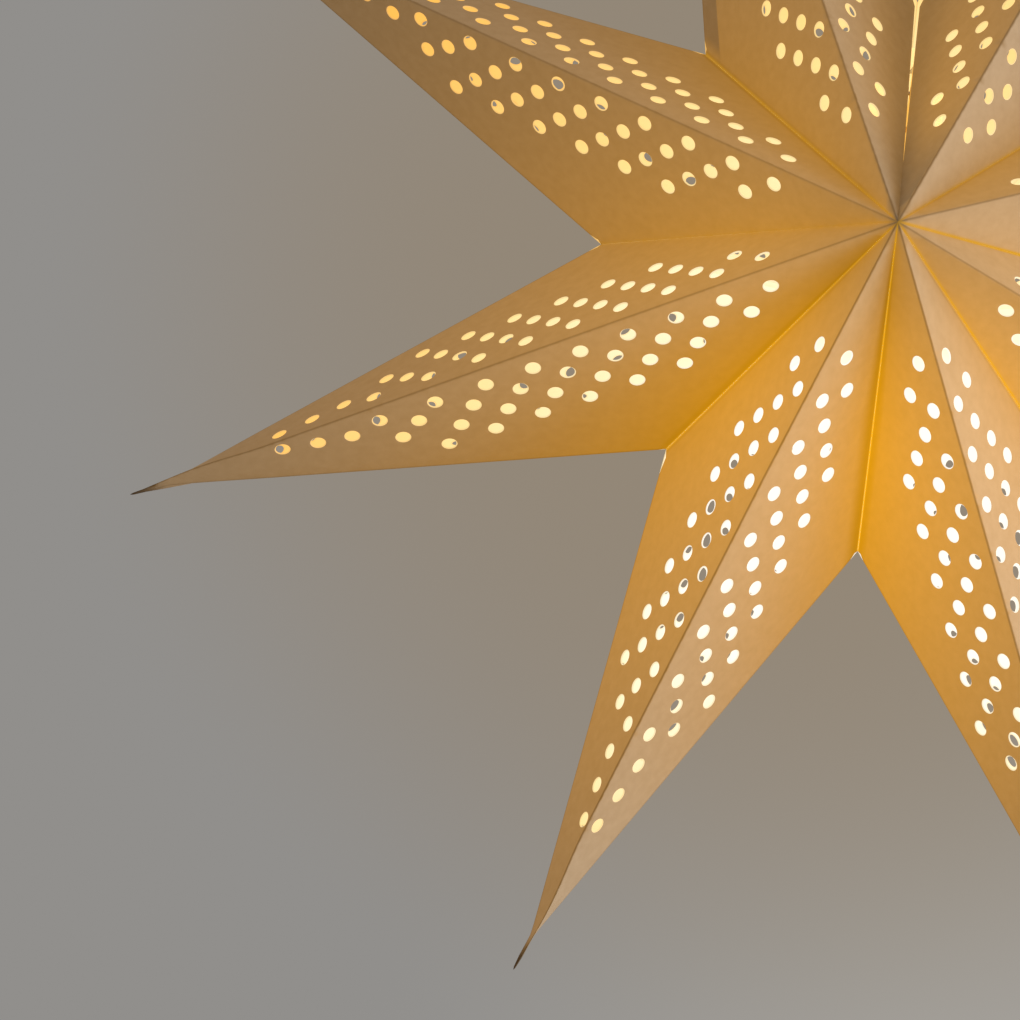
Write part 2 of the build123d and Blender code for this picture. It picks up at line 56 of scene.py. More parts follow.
# %% [markdown]
# ## The star's sizes
#
# The card is replaced, so its main sizes are read back from the boxes of the eight points: the depth
# gives the two apexes, the width gives the tips. What a box can't tell, such as the notches, is written
# down, in metres. Points and valleys are counted clockwise from the seam at the top. A panel's side is -1
# beside the valley that follows its point and 1 beside the one before, and its face is -1 in front and 1
# behind.

# %% Sizes of the star
point_count = 8
half_sector = np.pi / point_count
point_nodes = [f"point_{number}" for number in range(1, point_count + 1)]
corners = np.array([[list(corner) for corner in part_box(node)] for node in point_nodes])
star_low = corners[:, 0].min(axis=0)
star_high = corners[:, 1].max(axis=0)
star_centre = (star_low + star_high) / 2
tip_radius = (star_high[0] - star_low[0]) / 2 / np.cos(half_sector)
apex_height = (star_high[1] - star_low[1]) / 2
notch_radius = 0.110
card_thickness = 0.0004
print("star centre", star_centre, "tip radius", tip_radius, "apex height", apex_height)

# %% [markdown]
# ## The punched pattern
#
# Every panel has six slanting rows of four holes, two more holes towards the apex and seven towards the
# tip. A place is a distance along the ridge from the apex and a distance out from the ridge. Card that is
# fed to a punch by hand shifts a little, so single panels carry the pattern moved along the ridge and out
# from it.

# %% The punched pattern
hole_radius = 0.003
row_start, row_pitch, row_count = 0.071, 0.01925, 6
holes_per_row, step_along, step_out, ridge_distance = 4, 0.0087, 0.0077, 0.0086
holes_near_apex = [(0.053, 0.0096), (0.0645, 0.0185)]
holes_near_tip = [
    (0.188, 0.0085), (0.1977, 0.0148), (0.207, 0.0204), (0.2107, 0.0081),
    (0.2236, 0.0111), (0.2366, 0.0086), (0.25, 0.0057),
]
rows, places = np.meshgrid(np.arange(row_count), np.arange(holes_per_row), indexing="ij")
slanting_rows = np.stack(
    [row_start + rows * row_pitch + places * step_along, ridge_distance + places * step_out], axis=-1
).reshape(-1, 2)
panel_holes = np.vstack([holes_near_apex, slanting_rows, holes_near_tip])

no_shift, back_shift = (0.0, 0.0), (0.004, 0.0)
front_shifts = {
    (1, -1): (-0.0040, 0.0), (1, 1): (-0.0040, 0.0),
    (4, 1): (-0.0005, -0.0025),
    (5, -1): (0.0005, -0.0015), (5, 1): (0.0005, 0.0006),
    (6, -1): (0.0005, 0.0008), (6, 1): (0.0006, -0.0006),
    (7, -1): (-0.0002, 0.0015), (7, 1): (-0.0011, -0.0017),
    (8, -1): (-0.0022, -0.0004), (8, 1): (-0.0017, -0.0022),
}
print("holes in a panel:", len(panel_holes))

# %% [markdown]
# ## The camera
#
# The photograph looks up at the star from a little below, with a long lens and the camera tilted to one
# side. The camera stands where the holes of the pattern fall on the picture's holes.

# %% Camera
picture_side = 1020
focal_pixels = 5000
camera_from_star = Vector((-0.0217, -1.8610, -0.3729))
camera_heading, camera_pitch, camera_roll = radians(3.417), radians(8.142), radians(6.439)


def add_object(name, data):
    """A new object in the scene."""
    made = bpy.data.objects.new(name, data)
    bpy.context.collection.objects.link(made)
    return made


camera_data = bpy.data.cameras.new("photo_camera")
camera_data.sensor_width = 36
camera_data.lens = camera_data.sensor_width * focal_pixels / picture_side
camera = add_object("photo_camera", camera_data)
camera_turn = (
    Matrix.Rotation(camera_heading, 4, "Z")
    @ Matrix.Rotation(radians(90) + camera_pitch, 4, "X")
    @ Matrix.Rotation(camera_roll, 4, "Z")
)
camera_place = Vector(star_centre) + camera_from_star
camera.matrix_world = Matrix.Translation(camera_place) @ camera_turn
bpy.context.scene.camera = camera
print("lens", round(camera_data.lens, 1), "mm")

# %% [markdown]
# ## Small helpers for node materials
#
# Every finish below is a short chain of nodes, so a few helpers keep the chains readable. They start a
# material, add a node with its inputs, or make one common step such as arithmetic, noise or a mix of two
# colours.

# %% Helpers that add nodes
def new_material(name):
    """A material with one Principled shader; returns the material, its tree and the shader."""
    material = bpy.data.materials.new(name)
    material.use_nodes = True
    shader = material.node_tree.nodes["Principled BSDF"]
    return material, material.node_tree, shader


def set_inputs(tree, node, inputs):
    """Gives a node's sockets, by name or number, a value or a link from another socket."""
    for socket, value in dict(inputs).items():
        if isinstance(value, bpy.types.NodeSocket):
            tree.links.new(value, node.inputs[socket])
        else:
            node.inputs[socket].default_value = value


def add_node(tree, kind, inputs=(), **settings):
    """A node with its settings and inputs."""
    node = tree.nodes.new(kind)
    for name, value in settings.items():
        setattr(node, name, value)
    set_inputs(tree, node, inputs)
    return node


# %% Helpers for one common step
noise_middle = (0.3, 0.7)


def math(tree, operation, *values):
    """The result of one Math node."""
    return add_node(tree, "ShaderNodeMath", enumerate(values), operation=operation).outputs[0]


def product(tree, result, *factors):
    """Values multiplied together, one Math node after another."""
    for factor in factors:
        result = math(tree, "MULTIPLY", result, factor)
    return result


def map_range(tree, value, source, target=(0.0, 1.0), curve="LINEAR"):
    """A value moved from its source range to the target range and held at the ends."""
    inputs = enumerate((value, *source, *target))
    return add_node(tree, "ShaderNodeMapRange", inputs, interpolation_type=curve).outputs[0]


def noise(tree, where, scale, detail, distortion=0.0):
    """Cloudy noise with about so many grains to a metre. Most of it lies within noise_middle."""
    inputs = {"Vector": where, "Scale": scale, "Detail": detail, "Distortion": distortion}
    return add_node(tree, "ShaderNodeTexNoise", inputs).outputs[0]


def ramp(tree, factor, *stops):
    """The colour of a ramp; each stop is a position and a colour."""
    node = add_node(tree, "ShaderNodeValToRGB", {"Fac": factor})
    elements = node.color_ramp.elements
    while len(elements) < len(stops):
        elements.new(0.5)
    for element, (position, colour) in zip(elements, stops):
        element.position = position
        element.color = (*colour, 1)
    return node.outputs["Color"]


def attribute(tree, name, output="Fac"):
    """A value that the mesh carries at its points."""
    return add_node(tree, "ShaderNodeAttribute", attribute_name=name).outputs[output]


def tint(tree, factor, *colours):
    """Two colours mixed by a factor; each is three numbers or a socket."""
    first, second = ((*colour, 1) if isinstance(colour, tuple) else colour for colour in colours)
    inputs = {0: factor, 6: first, 7: second}
    return add_node(tree, "ShaderNodeMix", inputs, data_type="RGBA").outputs[2]


# %% [markdown]
# ## The floor
#
# The floor lies well below, because a pendant hangs high. It is a plain disc, large enough to reach
# behind the star from any side, in two tones of one pale colour.

# %% Floor
floor_drop = 1.8
floor_radius, floor_steps = 7.0, 96
floor_dark, floor_pale = (0.52, 0.50, 0.46), (0.56, 0.54, 0.50)

floor_turn = np.linspace(0, 2 * np.pi, floor_steps, endpoint=False)
floor_circle = np.stack([np.cos(floor_turn), np.sin(floor_turn)], axis=1) * floor_radius
floor_rim = np.column_stack([floor_circle, np.full(floor_steps, -floor_drop)])
floor_mesh = bpy.data.meshes.new("floor")
floor_mesh.from_pydata(floor_rim.tolist(), [], [tuple(range(floor_steps))])
floor = add_object("floor", floor_mesh)

floor_material, floor_tree, floor_shader = new_material("pale_floor")
floor_grain = add_node(floor_tree, "ShaderNodeTexNoise", {"Scale": 3.0, "Detail": 4.0}).outputs[0]
floor_tone = ramp(floor_tree, floor_grain, (0.3, floor_dark), (0.7, floor_pale))
set_inputs(floor_tree, floor_shader, {"Base Color": floor_tone, "Roughness": 0.9})
floor_mesh.materials.append(floor_material)
print("stage: floor", floor_drop, "m below the cord inlet")

# %% [markdown]
# ## The room
#
# A plain grey-beige room: the world gives an even soft light, and its colour towards the camera is the
# wall's, with painted light on it: a little lighter low on the right, and a painted warm glow of the lamp
# round the star. Metal shows the same wall, because rays that bounce off something glossy or go through
# it see what the camera sees.

# %% Wall and soft light
room_light, room_colour = 0.42, (1.0, 0.98, 0.95, 1)
wall_dark, wall_light, painted_glow_colour = (0.283, 0.274, 0.262), (0.376, 0.361, 0.337), (0.292, 0.240, 0.179)
right, up = (Vector(camera_turn.col[axis][:3]) for axis in range(2))
downwards = 0.35
lighter_way = (right - up * downwards).normalized()
lighter_range = (0.0, 0.13)
star_way = (Vector(star_centre) - camera_place).normalized()
lamp_glow_range, lamp_glow_strength = (0.985, 0.999), 0.95

world = bpy.data.worlds.new("room")
bpy.context.scene.world = world
world.use_nodes = True
sky = world.node_tree
sky.nodes.clear()
way = add_node(sky, "ShaderNodeTexCoord").outputs["Generated"]
across, near = (
    add_node(sky, "ShaderNodeVectorMath", {0: way, 1: direction}, operation="DOT_PRODUCT").outputs["Value"]
    for direction in (lighter_way, star_way)
)
# Painted light on the wall: lighter low on the right, and a painted warm glow of the lamp round the star.
slope = map_range(sky, across, lighter_range, curve="SMOOTHSTEP")
painted_lamp_glow = map_range(sky, near, lamp_glow_range, (0.0, lamp_glow_strength), "SMOOTHSTEP")
wall = tint(sky, painted_lamp_glow, tint(sky, slope, wall_dark, wall_light), painted_glow_colour)
seen = add_node(sky, "ShaderNodeLightPath").outputs
mirrored = math(sky, "MAXIMUM", seen["Is Glossy Ray"], seen["Is Transmission Ray"])
seen_directly = math(sky, "MAXIMUM", seen["Is Camera Ray"], mirrored)
wall_glow, soft_light = (
    add_node(sky, "ShaderNodeBackground", {"Color": colour, "Strength": strength}).outputs[0]
    for colour, strength in ((wall, 1.0), (room_colour, room_light))
)
both = add_node(sky, "ShaderNodeMixShader", {0: seen_directly, 1: soft_light, 2: wall_glow}).outputs[0]
add_node(sky, "ShaderNodeOutputWorld", {"Surface": both})
bpy.context.scene.view_settings.view_transform = "Standard"
print("room light", room_light)

# %% [markdown]
# ## The window
#
# One large soft lamp on the right is the room's window. It greys the panels that face it, so the folds
# can be read against the glow.

# %% Window
window_side, window_power, window_colour = 2.2, 64, (0.95, 0.98, 1.0)
window_from_star = Vector((2.3, -0.34, -0.28))

window_data = bpy.data.lights.new("window", "AREA")
window_data.shape = "RECTANGLE"
window_data.size = window_side
window_data.size_y = window_side
window_data.energy = window_power
window_data.color = window_colour
window = add_object("window", window_data)
window.location = Vector(star_centre) + window_from_star
window.rotation_euler = (Vector(star_centre) - window.location).to_track_quat("-Z", "Y").to_euler()
print("window of", window_side, "m,", window_power, "W")

# %% [markdown]
# ## A flat sheet with round holes
#
# Every panel and every flange is cut from a flat sheet first. A triangulation that keeps the outline and
# the hole circles as edges gives clean round holes, which a boolean cut would leave ragged. Between them
# lies an even grid of points, so that the sheet can bow later.

# %% Points of a flat sheet
circle_steps = 28
sheet_grid = 0.006
border_step = sheet_grid * 0.75
grid_rise = 0.866
inside_only, tolerance = 1, 1e-9


def unit(vector):
    """The vector's direction, one long."""
    return vector / np.linalg.norm(vector)


def loop_edges(start, count):
    """Edges round a closed loop of points."""
    index = np.arange(count)
    return np.stack([index, (index + 1) % count], axis=1) + start


def along_side(start, end, step):
    """Points from start to just before end, as evenly spaced as the step allows."""
    count = max(1, int(round(np.linalg.norm(end - start) / step)))
    return start + (end - start) * np.arange(count)[:, None] / count


def along_outline(outline, step):
    """Points along a closed outline, evenly spaced on each side."""
    ends = np.roll(outline, -1, axis=0)
    return np.vstack([along_side(start, end, step) for start, end in zip(outline, ends)])


def staggered_grid(low, high):
    """A grid over a box, with every second line moved by half a step."""
    columns, lines = np.meshgrid(
        np.arange(low[0], high[0], sheet_grid),
        np.arange(low[1], high[1], sheet_grid * grid_rise),
        indexing="ij",
    )
    columns = columns + (np.arange(lines.shape[1]) % 2) * sheet_grid / 2
    return np.stack([columns, lines], axis=-1).reshape(-1, 2)


def nearest(points, centres):
    """How far each point lies from the nearest centre."""
    return np.linalg.norm(points[:, None] - centres, axis=-1).min(axis=1)


def triangulate(points, edges):
    """Triangles inside an outline that keep the given edges; returns points and triangles."""
    flat = [Vector(point) for point in points.tolist()]
    made = delaunay_2d_cdt(flat, edges.tolist(), [], inside_only, tolerance)
    return np.array([point[:] for point in made[0]]), np.array(made[2])


# %% Triangulate a flat sheet with round holes
disc_share, ring_share, clear_share = 0.988, 1.4, 1.35
edge_room = sheet_grid * 0.35


def flat_sheet(outline, centres, radius, inside, crease_rows=(), rim=0.0):
    """A flat sheet: outline points, hole circles, a ring round each hole, rows beside a crease and an
    even grid, joined by a triangulation that keeps the outline and the circles. With a rim, each hole has
    a second circle that much smaller. The function inside tells how deep a point lies in the outline.
    Returns points and triangles."""
    border = along_outline(outline, border_step)
    turn = np.linspace(0, 2 * np.pi, circle_steps, endpoint=False)
    circle = np.stack([np.cos(turn), np.sin(turn)], axis=1)
    radii = np.unique([radius, radius - rim])
    circles = (centres[:, None, None] + circle * radii[:, None, None]).reshape(-1, 2)
    rings = (centres[:, None] + circle[::2] * radius * ring_share).reshape(-1, 2)
    loose = np.vstack([rings, staggered_grid(outline.min(axis=0), outline.max(axis=0))])
    loose = loose[inside(loose) > edge_room]
    loose = np.vstack([loose, *crease_rows])
    loose = loose[nearest(loose, centres) > radius * clear_share]
    starts = range(len(border), len(border) + len(circles), circle_steps)
    edges = [loop_edges(0, len(border)), *(loop_edges(start, circle_steps) for start in starts)]
    points, faces = triangulate(np.vstack([border, circles, loose]), np.vstack(edges))
    middle = points[faces].mean(axis=1)
    return points, faces[nearest(middle, centres) > radii[0] * disc_share]


# %% [markdown]
# ## The flat blank of a panel
#
# Each point has four panels, all cut from one pattern: a triangle from apex to tip to notch, with the
# punched holes and a small slit at the notch where the card doesn't quite close. Beside the seam the
# panel stands back, and its corner is cut off for the cord. Every hole has a narrow rim of triangles,
# which is turned in when the panel is folded. Panels with the same gap, slit and shift share one flat
# pattern.

# %% The panel's outline
fold_gap = 0.00002
seam_gap, back_seam_gap = 0.002, 0.00004
seam_shut = 0.034
cord_opening, back_cord_opening = 0.014, 0.006
blunt_end = 0.0012
slit_width, slit_slenderness, slit_peak = 0.0008, 7, 3
ridge_length = np.hypot(tip_radius, apex_height)


def panel_corners(valley_back):
    """Apex, tip and notch of a panel laid flat, ridge along x. The notch is the place on the tip-to-notch
    edge whose angle round the star stands back from the valley plane by valley_back."""
    ridge = np.array([tip_radius, apex_height]) / ridge_length
    true_notch = notch_radius * np.array([np.cos(half_sector), np.sin(half_sector)])
    tip = np.array([tip_radius, 0])
    angle = half_sector - valley_back
    across = np.array([-np.sin(angle), np.cos(angle)])
    share = (true_notch @ across) / ((true_notch - tip) @ across)
    notch = true_notch + (tip - true_notch) * share
    along = notch[0] * ridge[0] + apex_height * ridge[1]
    out = np.sqrt(notch @ notch + apex_height**2 - along**2)
    return np.array([(0, 0), (ridge_length, 0), (along, out)])


def panel_outline(gap, slit):
    """A panel's apex, tip and notch, and its outline. At the seam it stands back by half the gap from
    seam_shut outwards and its corner is cut off; elsewhere a slit opens along the edge beside the notch,
    and is widest at a third of its length."""
    apex, tip, notch = panel_corners(np.arctan2(gap / 2, notch_radius))
    edge, valley = unit(tip - notch), unit(apex - notch)
    inward = np.array([edge[1], -edge[0]])
    if gap > fold_gap:
        shut = unit(panel_corners(0.0)[2] - apex) * seam_shut
        opening = cord_opening if gap == seam_gap else back_cord_opening
        cut = [notch + edge * opening, notch + valley * opening, shut]
    else:
        length = slit_slenderness * max(slit, slit_width / 2)
        cut = [notch + edge * length, notch + edge * length / slit_peak + inward * slit, notch]
    before_tip, after_tip = tip - np.array([blunt_end, 0]), tip - edge * blunt_end
    return apex, tip, notch, np.array([apex, before_tip, tip, after_tip, *cut])


notch_out = panel_corners(0.0)[2, 1]
print("ridge", round(ridge_length, 4), "m long, notch", round(notch_out, 4), "m out from it")

# %% The panel's flat pattern
rim_width = 0.0004
on_fold = 1e-6
crease_row_ends, crease_row_places = 0.012, (0.0006, 0.0014)


def distance_to_line(points, start, end):
    """How far points lie to the left of a line."""
    direction = unit(end - start)
    away = points - start
    return direction[0] * away[..., 1] - direction[1] * away[..., 0]


@cache
def panel_pattern(gap, slit, shift):
    """The flat points and triangles of a panel, each point's distances to the ridge, the valley and the
    outer edge, and a mask that is 1 on the inner circles of the holes. The holes are shifted along the
    ridge and out from it."""
    apex, tip, notch, outline = panel_outline(gap, slit)

    def from_folds(points):
        """Distances to the ridge, the valley and the outer edge."""
        to_valley, to_edge = distance_to_line(points, notch, apex), distance_to_line(points, tip, notch)
        return np.stack([points[:, 1], to_valley, to_edge], axis=1)

    def inside(points):
        """The distance to the nearest side."""
        return from_folds(points).min(axis=1)

    steps = np.arange(crease_row_ends, ridge_length - crease_row_ends, border_step)
    crease_rows = [np.stack([steps, np.full_like(steps, out)], axis=1) for out in crease_row_places]
    centres = panel_holes + np.array(shift)
    points, faces = flat_sheet(outline, centres, hole_radius, inside, crease_rows, rim_width)
    rim = (nearest(points, centres) < hole_radius - rim_width / 2).astype(float)
    return points, faces, np.maximum(from_folds(points), on_fold), rim


print("a panel has", len(panel_pattern(fold_gap, slit_width, no_shift)[1]), "triangles")

# %% [markdown]
# ## How the lamp lights the card
#
# Light that goes through card comes out orange and fades slowly with distance, because the pale inside
# throws it about. It is strongest below the bulb, which shines mostly downwards, and weakest straight up,
# where the lampholder stands in the way. The formula is worked out at every point of the mesh, so the
# glow belongs to the card and not to the view.

# %% Lamp light on the card
globe_low, globe_high = (np.array(corner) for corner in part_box("bulb_globe"))
bulb_centre = (globe_low + globe_high) / 2
bulb_centre[2] = globe_low[2] + (globe_high[0] - globe_low[0]) / 2
light_aim = unit(np.array([0.05, 0.0, -1.0]))
lobe_slope, lobe_curve, lobe_level = 0.5, 0.4, 1.06
glow_strength, glow_reach = 0.693, 0.165
inner_strength, inner_reach, inner_contrast = 1.62, 0.095, 2.15
holder_shade, holder_shade_angle = 0.42, radians(8)
apex_shades = ((0.16, 0.026), (0.5, 0.003))


def from_axis(place):
    """Distance to the line through the two apexes."""
    return np.linalg.norm((place - star_centre)[:, [0, 2]], axis=1)


def lamp_light(place):
    """Through-light and inside light: both fall off exponentially with distance and swell towards
    light_aim as 1 + slope times c + curve times c squared, with c the cosine to it. The through-light
    dips in a narrow band straight up and round the apexes, by shades that fade as a bell curve."""
    away = place - bulb_centre
    distance = np.linalg.norm(away, axis=1)
    towards = away @ light_aim / distance
    lobe = (1 + lobe_slope * towards + lobe_curve * towards**2) / lobe_level
    upward = np.arctan2(np.abs(place[:, 0] - star_centre[0]), place[:, 2] - star_centre[2])
    shade = 1 - holder_shade * np.exp(-((upward / holder_shade_angle) ** 2))
    for apex_shade, reach in apex_shades:
        shade *= 1 - apex_shade * np.exp(-((from_axis(place) / reach) ** 2))
    through = glow_strength * lobe * shade * np.exp(-distance / glow_reach)
    inside = inner_strength * lobe**inner_contrast * np.exp(-distance / inner_reach)
    return through, inside


print("bulb centre", bulb_centre)

# %% [markdown]
# ## Folding a panel
#
# Folding is only arithmetic: a flat point (u, v) goes to apex + u along the ridge + v across it. Real
# card bows a little between its folds, its creases are rounded, and the rims of its holes are turned in.
# A hand-glued notch may stand a little off its place: its panels then lean with it, by as much as a point
# lies out from the ridge. Each panel also carries how it is lit: how far the seam's flap and the window's
# light take from its glow, and how deep and how bright its valley looks.

# %% Directions, valleys and the seam
panel_kinds = [(side, face) for side in (-1, 1) for face in (-1, 1)]
notch_moves = {4: (-0.0013, 0.0020), 5: (0.0010, 0.0008), 6: (0.0003, -0.0013), 7: (-0.0003, -0.0017)}


def star_direction(angle):
    """A direction in the star's plane, its angle clockwise from straight up."""
    return np.array([np.sin(angle), 0.0, np.cos(angle)])


def smooth_step(values, low, high):
    """0 below low, 1 above high, smooth between."""
    share = np.clip((values - low) / (high - low), 0, 1)
    return share * share * (3 - 2 * share)


def is_seam(number, side):
    """True beside the valley that isn't glued, straight up."""
    return (number, side) in ((1, 1), (point_count, -1))


def beside(number, side):
    """The valley beside a panel, and how far its notch is moved."""
    valley = (number - max(side, 0)) % point_count
    sideways, upwards = notch_moves.get(valley, (0.0, 0.0))
    return valley, np.array([sideways, 0.0, upwards])


# %% How a panel is lit
flap_shades, flap_fade = {(1, 1): 0.62, (point_count, -1): 0.3}, (0.006, 0.060)
window_wash = 0.25
# One number for each valley, from the seam on; before and after are the panels on its two sides.
depths_before = (0.0, 0.5, 0.5, 0.5, 1.0, 0.7, 0.1, 0.7)
depths_after = (0.0, 0.6, 0.5, 0.6, 1.0, 1.0, 0.1, 0.6)
valley_shines = (0.0, 0.10, 0.32, 0.26, 0.32, 0.18, 0.02, 0.10)
spreads, usual_spread = {(5, 1): 0.05, (6, 1): 0.8}, 0.6


def panel_light(number, side, front, flat, outward):
    """What a panel's points carry for the finish: the shade of the seam's flap, which fades away from the
    apex, and even values for the lap of point 8, the window's wash, and the depth, spread and shine of
    its valley."""
    valley = beside(number, side)[0]
    flap_shade = flap_shades.get((number, side), 0.0) * front
    even = {
        "lap": number == point_count and side == 1 and front,
        "wash": window_wash * max(outward[0], 0),
        "depth": (depths_after if side > 0 else depths_before)[valley],
        "spread": spreads.get((number, side), usual_spread),
        "line": valley_shines[valley],
    }
    values = {name: np.full(len(flat), float(value)) for name, value in even.items()}
    values["flap"] = flap_shade * (1 - smooth_step(flat[:, 0], *flap_fade))
    return values


# %% Fold one panel
slit_widths = {(5, -1): 0.0014, (6, 1): 0.0002, (4, -1): 0.0006, (5, 1): 0.0006}
rim_drop = 0.00036
panel_bow, bubble_peak = 0.0008, 27
crease_depth, crease_width, crease_fade = 0.0003, 0.0006, (0.002, 0.02)


def panel_axes(number, side, face):
    """A panel's apex, its directions along and across the ridge, and its outward normal."""
    angle = half_sector * (2 * number - 1)
    apex = np.array([0.0, face * apex_height, 0.0])
    tip = tip_radius * star_direction(angle)
    notch = notch_radius * star_direction(angle - side * half_sector)
    ridge = unit(tip - apex)
    across = notch - apex
    across = unit(across - (across @ ridge) * ridge)
    outward = np.cross(ridge, across)
    return apex, ridge, across, outward * face * np.sign(outward[1])


def fold_panel(number, side, face):
    """One folded panel: points in the star's frame, triangles facing outwards, and the values at its
    points. It bows outwards by the product of its distances to the folds, which is scaled to peak at 1,
    and its crease is lowered by a bell curve of the distance to the ridge."""
    seam = is_seam(number, side)
    front = face < 0
    gap = (seam_gap if front else back_seam_gap) if seam else fold_gap
    slit = slit_widths.get((number, side), slit_width) if front and not seam else 0.0
    shift = front_shifts.get((number, side), no_shift) if front else back_shift
    flat, faces, folds, rim = panel_pattern(gap, slit, shift)
    apex, ridge, across, outward = panel_axes(number, side, face)
    if np.cross(ridge, across) @ outward < 0:
        faces = faces[:, ::-1]
    bubble = bubble_peak * np.prod((folds - on_fold) / folds.max(axis=0), axis=1)
    crease = crease_depth * np.exp(-((folds[:, 0] / crease_width) ** 2))
    crease *= smooth_step(np.minimum(flat[:, 0], ridge_length - flat[:, 0]), *crease_fade)
    bisector = unit(np.cross(ridge, np.cross(ridge, apex)))
    bisector *= -np.sign(bisector @ apex)
    move = beside(number, side)[1]
    place = apex + flat[:, :1] * ridge + flat[:, 1:] * across + flat[:, 1:] / notch_out * move
    place = place + outward * (panel_bow * bubble - rim_drop * rim)[:, None] + bisector * crease[:, None]
    return place, faces, {"folds": folds, "rim": rim, **panel_light(number, side, front, flat, outward)}


print("a folded panel spans", np.ptp(fold_panel(1, -1, -1)[0], axis=0).round(3), "m")

# %% [markdown]
# ## Pressing the tip
#
# Towards the tip a point is pressed flat between the fingers: it is narrower and deeper there, its panels
# keep their width, and its end is a thin stalk. It also twists a little on its last stretch, and some
# points lean. One formula does this to all eight.

# %% Press a point's tip, and stack its panels
stalk_length, stalk_half_width, stalk_share = 0.012, 0.0007, 0.9
least_left = 1e-5
leans = {5: 0.0024, 6: 0.0008}
twists = np.radians([6, -8, 5, -7, 11, -9, 7, -5])
twist_start, twist_end = 0.055, 0.015


def press_tip(place, number):
    """Narrows a point between notch and tip: half its width falls straight to nothing where the stalk
    starts, and half its depth follows from width and depth keeping the same slant length. Then the point
    twists about its axis near the tip, and leans sideways."""
    angle = half_sector * (2 * number - 1)
    axis, sideways = star_direction(angle), star_direction(angle - np.pi / 2)
    along = place @ axis
    left = np.maximum(tip_radius - along, least_left)
    notch_left = tip_radius - notch_radius * np.cos(half_sector)
    notch_half = notch_radius * np.sin(half_sector)
    open_half, open_depth = notch_half * left / notch_left, apex_height * left / tip_radius
    half = notch_half * (left - stalk_length) / (notch_left - stalk_length)
    slant = np.hypot(open_half, open_depth)
    half = np.maximum(half, np.minimum(stalk_share * slant, stalk_half_width))
    half = np.where(left < notch_left, half, open_half)
    depth = np.sqrt(slant**2 - half**2)
    lean = leans.get(number, 0.0) * np.clip((notch_left - left) / (notch_left - stalk_length), 0, 1)
    across = (place @ sideways) * half / open_half
    deep = place[:, 1] * depth / open_depth
    turn = twists[number - 1] * (1 - smooth_step(left, twist_end, twist_start))
    turned_across = across * np.cos(turn) - deep * np.sin(turn) + lean
    turned_deep = across * np.sin(turn) + deep * np.cos(turn)
    behind = np.array([0.0, 1.0, 0.0])
    return along[:, None] * axis + turned_across[:, None] * sideways + turned_deep[:, None] * behind


def fold_point(number):
    """The four panels of a point, stacked, pressed and moved to the star's place."""
    places, face_lists, value_sets = zip(*(fold_panel(number, side, face) for side, face in panel_kinds))
    starts = np.cumsum([0] + [len(place) for place in places[:-1]])
    place = press_tip(np.vstack(places), number) + star_centre
    faces = np.vstack([faces + start for faces, start in zip(face_lists, starts)])
    values = {name: np.concatenate([each[name] for each in value_sets]) for name in value_sets[0]}
    return place, faces, values


print("a point has", len(fold_point(1)[1]), "triangles before its flanges")

# %% [markdown]
# ## Flanges
#
# Along each valley a strip of the same card is turned in and glued to its neighbour. At the seam the
# strips are wider, punched for the split pins and eyelets, and a little apart, so light shows between
# them. They are cut flat and then folded, as the panels are.

# %% Flanges turned in at the valleys
flange_start, flange_end, flange_width = 0.020, 0.120, 0.008
seam_flange_end, seam_flange_width = 0.100, 0.014
flange_hole_places, flange_hole_radius = (0.038, 0.064, 0.085), 0.00205
flange_clearance, flange_lean = 0.0001, 0.9
valley_length = np.hypot(notch_radius, apex_height)


@cache
def flange_pattern(seam):
    """A flat strip with slanted ends; the seam's has holes for two split pins and an eyelet."""
    width = seam_flange_width if seam else flange_width
    end = seam_flange_end if seam else flange_end
    outline = np.array([(flange_start, 0), (end, 0), (end - width, width), (flange_start + width, width)])
    if not seam:
        border = along_outline(outline, sheet_grid)
        return triangulate(border, loop_edges(0, len(border)))

    def inside(points):
        """The distance to the nearest side."""
        slant = np.minimum(points[:, 0] - points[:, 1] - flange_start, end - points[:, 0] - points[:, 1])
        return np.minimum.reduce([points[:, 1], width - points[:, 1], slant])

    centres = np.array([(place, width / 2) for place in flange_hole_places])
    return flat_sheet(outline, centres, flange_hole_radius, inside)


def fold_flange(number, side, face):
    """A flange's points and triangles: from just inside its valley, square to the star's plane, and moved
    with its notch. In front, the two flanges of the seam lean together, because the split pins pull them
    shut."""
    seam = is_seam(number, side)
    flat, faces = flange_pattern(seam)
    back_off = np.arctan2(seam_gap / 2, notch_radius) if seam else 0.0
    angle = half_sector * (2 * number - 1) - side * (half_sector - back_off)
    apex = np.array([0.0, face * apex_height, 0.0])
    along = unit(notch_radius * star_direction(angle) - apex)
    into_point = star_direction(angle + side * np.pi / 2)
    inward = np.cross(along, into_point)
    inward *= -np.sign(inward @ apex)
    root = card_thickness + flange_clearance
    place = apex + flat[:, :1] * along + (flat[:, 1:] + root) * inward + into_point * (fold_gap / 2)
    place = place + flat[:, :1] / valley_length * beside(number, side)[1]
    if seam and face < 0:
        gap_there = seam_gap / 2 * flat[:, 0] / valley_length
        place = place - into_point * (flange_lean * gap_there * flat[:, 1] / seam_flange_width)[:, None]
    if np.cross(along, inward) @ into_point > 0:
        faces = faces[:, ::-1]
    return place + star_centre, faces


print("a seam flange has", len(flange_pattern(True)[1]), "triangles")
